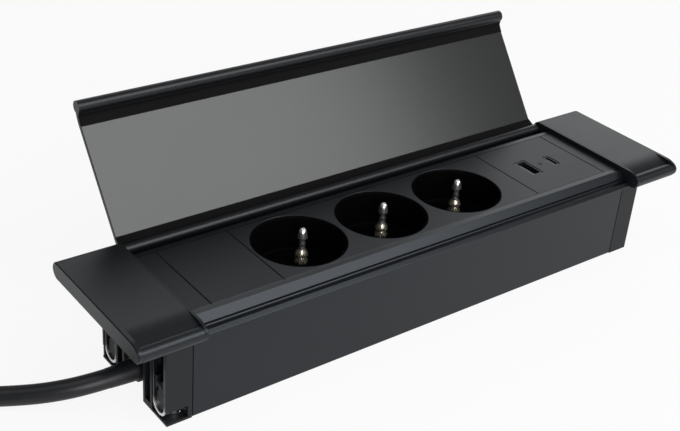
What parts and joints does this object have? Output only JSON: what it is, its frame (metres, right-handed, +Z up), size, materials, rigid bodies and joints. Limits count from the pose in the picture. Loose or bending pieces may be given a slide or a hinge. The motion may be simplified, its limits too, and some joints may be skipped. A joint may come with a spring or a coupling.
{
  "type": "in-desk power strip",
  "caption": "Recessed worktop power strip with a hinged full-length lid, round earthed sockets, USB ports, desk clamps at both ends and a mains lead with plug.",
  "frame": {"origin": "centre of the worktop cut-out, on the worktop surface that the flanges rest on", "axes": "+X along the strip towards the USB end, +Y towards the hinge, +Z up"},
  "size_m": [0.468, 0.1693, 0.0974],
  "materials": {
    "black_aluminium": "fine satin black anodised, softly reflecting",
    "dark_glass_sheet": "smooth dark glossy sheet",
    "grey_coat": "smooth satin charcoal coat",
    "black_plastic": "fine satin black moulding",
    "socket_plastic": "semi-gloss black moulding",
    "grey_plastic": "matt charcoal grey moulding",
    "inner_plastic": "plain dark grey moulding",
    "shutter_plastic": "plain black moulding",
    "carriage_plastic": "mid grey glass-filled moulding",
    "zinc_steel": "bright zinc plated",
    "claw_metal": "satin dark grey zinc casting",
    "nickel": "bright nickel plated",
    "brass": "plain rolled brass",
    "port_steel": "dark tinned shell",
    "led_lens": "milky clear light guide",
    "soft_black": "matt soft black",
    "cord_black": "smooth black sheath, slight sheen",
    "plug_black": "satin black moulding"
  },
  "bodies": {
    "base": {"channel_profile": "black_aluminium", "left_flange_block": "grey_coat", "right_flange_block": "grey_coat", "left_outer_plate": "grey_coat", "right_outer_plate": "grey_coat", "left_inner_plate": "black_plastic", "right_inner_plate": "black_plastic", "left_end_cap": "grey_plastic", "right_end_cap": "grey_plastic", "housing_screws": "zinc_steel", "clamp_stirrups": "zinc_steel", "hinge_pins": "zinc_steel", "left_end_strip": "black_plastic", "blank_plate": "black_plastic", "socket_panel": "black_plastic", "usb_faceplate": "black_plastic", "right_end_strip": "black_plastic", "contact_clips": "brass", "busbars": "brass", "usb_a_port": "port_steel", "usb_c_port": "port_steel", "led_guide": "led_lens", "charger_housing": "inner_plastic", "usb_board": "inner_plastic", "terminal_block": "inner_plastic", "cable_grommet": "soft_black", "cable_tail": "cord_black", "cable_saddle": "inner_plastic", "cable_clamp_bar": "inner_plastic", "power_cable": "cord_black", "cable_coil": "cord_black", "plug_body": "plug_black", "plug_contacts": "nickel", "socket_insert_1": "socket_plastic", "earth_pin_1": "nickel", "socket_base_1": "inner_plastic", "socket_insert_2": "socket_plastic", "earth_pin_2": "nickel", "socket_base_2": "inner_plastic", "socket_insert_3": "socket_plastic", "earth_pin_3": "nickel", "socket_base_3": "inner_plastic"},
    "lid": {"lid": "black_aluminium", "lid_insert": "dark_glass_sheet"},
    "shutter_1": {"shutter_1": "shutter_plastic"},
    "shutter_2": {"shutter_2": "shutter_plastic"},
    "shutter_3": {"shutter_3": "shutter_plastic"},
    "clamp_screw_right_back": {"clamp_screw_right_back": "zinc_steel"},
    "clamp_carriage_right_back": {"clamp_carriage_right_back": "carriage_plastic"},
    "clamp_claw_right_back": {"clamp_claw_right_back": "claw_metal"},
    "clamp_screw_right_front": {"clamp_screw_right_front": "zinc_steel"},
    "clamp_carriage_right_front": {"clamp_carriage_right_front": "carriage_plastic"},
    "clamp_claw_right_front": {"clamp_claw_right_front": "claw_metal"},
    "clamp_screw_left_back": {"clamp_screw_left_back": "zinc_steel"},
    "clamp_carriage_left_back": {"clamp_carriage_left_back": "carriage_plastic"},
    "clamp_claw_left_back": {"clamp_claw_left_back": "claw_metal"},
    "clamp_screw_left_front": {"clamp_screw_left_front": "zinc_steel"},
    "clamp_carriage_left_front": {"clamp_carriage_left_front": "carriage_plastic"},
    "clamp_claw_left_front": {"clamp_claw_left_front": "claw_metal"}
  },
  "joints": [
    {"name": "lid_hinge", "type": "hinge", "parent": "base", "child": "lid", "pos_m": [0, 0.0339, 0.0036], "axis": [1, 0, 0], "range_deg": [0, 126.5]},
    {"name": "shutter_1_slide", "type": "slide", "parent": "base", "child": "shutter_1", "axis": [-0.7071, -0.7071, 0], "range_m": [0, 0.007], "stiffness_N_per_m": 150, "springref_m": -0.004},
    {"name": "shutter_2_slide", "type": "slide", "parent": "base", "child": "shutter_2", "axis": [-0.7071, -0.7071, 0], "range_m": [0, 0.007], "stiffness_N_per_m": 150, "springref_m": -0.004},
    {"name": "shutter_3_slide", "type": "slide", "parent": "base", "child": "shutter_3", "axis": [-0.7071, -0.7071, 0], "range_m": [0, 0.007], "stiffness_N_per_m": 150, "springref_m": -0.004},
    {"name": "screw_turn_right_back", "type": "hinge", "parent": "base", "child": "clamp_screw_right_back", "pos_m": [0.128, 0.0203, -0.03], "axis": [0, 0, 1], "continuous": true},
    {"name": "clamp_lift_right_back", "type": "slide", "parent": "base", "child": "clamp_carriage_right_back", "axis": [0, 0, 1], "range_m": [0, 0.016]},
    {"name": "claw_flip_right_back", "type": "hinge", "parent": "clamp_carriage_right_back", "child": "clamp_claw_right_back", "pos_m": [0.1326, 0.0203, -0.025], "axis": [0, -1, 0], "range_deg": [0, 90]},
    {"name": "screw_turn_right_front", "type": "hinge", "parent": "base", "child": "clamp_screw_right_front", "pos_m": [0.128, -0.0203, -0.03], "axis": [0, 0, 1], "continuous": true},
    {"name": "clamp_lift_right_front", "type": "slide", "parent": "base", "child": "clamp_carriage_right_front", "axis": [0, 0, 1], "range_m": [0, 0.016]},
    {"name": "claw_flip_right_front", "type": "hinge", "parent": "clamp_carriage_right_front", "child": "clamp_claw_right_front", "pos_m": [0.1326, -0.0203, -0.025], "axis": [0, -1, 0], "range_deg": [0, 90]},
    {"name": "screw_turn_left_back", "type": "hinge", "parent": "base", "child": "clamp_screw_left_back", "pos_m": [-0.128, 0.0203, -0.03], "axis": [0, 0, 1], "continuous": true},
    {"name": "clamp_lift_left_back", "type": "slide", "parent": "base", "child": "clamp_carriage_left_back", "axis": [0, 0, 1], "range_m": [0, 0.016]},
    {"name": "claw_flip_left_back", "type": "hinge", "parent": "clamp_carriage_left_back", "child": "clamp_claw_left_back", "pos_m": [-0.1326, 0.0203, -0.025], "axis": [0, 1, 0], "range_deg": [0, 90]},
    {"name": "screw_turn_left_front", "type": "hinge", "parent": "base", "child": "clamp_screw_left_front", "pos_m": [-0.128, -0.0203, -0.03], "axis": [0, 0, 1], "continuous": true},
    {"name": "clamp_lift_left_front", "type": "slide", "parent": "base", "child": "clamp_carriage_left_front", "axis": [0, 0, 1], "range_m": [0, 0.016]},
    {"name": "claw_flip_left_front", "type": "hinge", "parent": "clamp_carriage_left_front", "child": "clamp_claw_left_front", "pos_m": [-0.1326, -0.0203, -0.025], "axis": [0, 1, 0], "range_deg": [0, 90]}
  ]
}
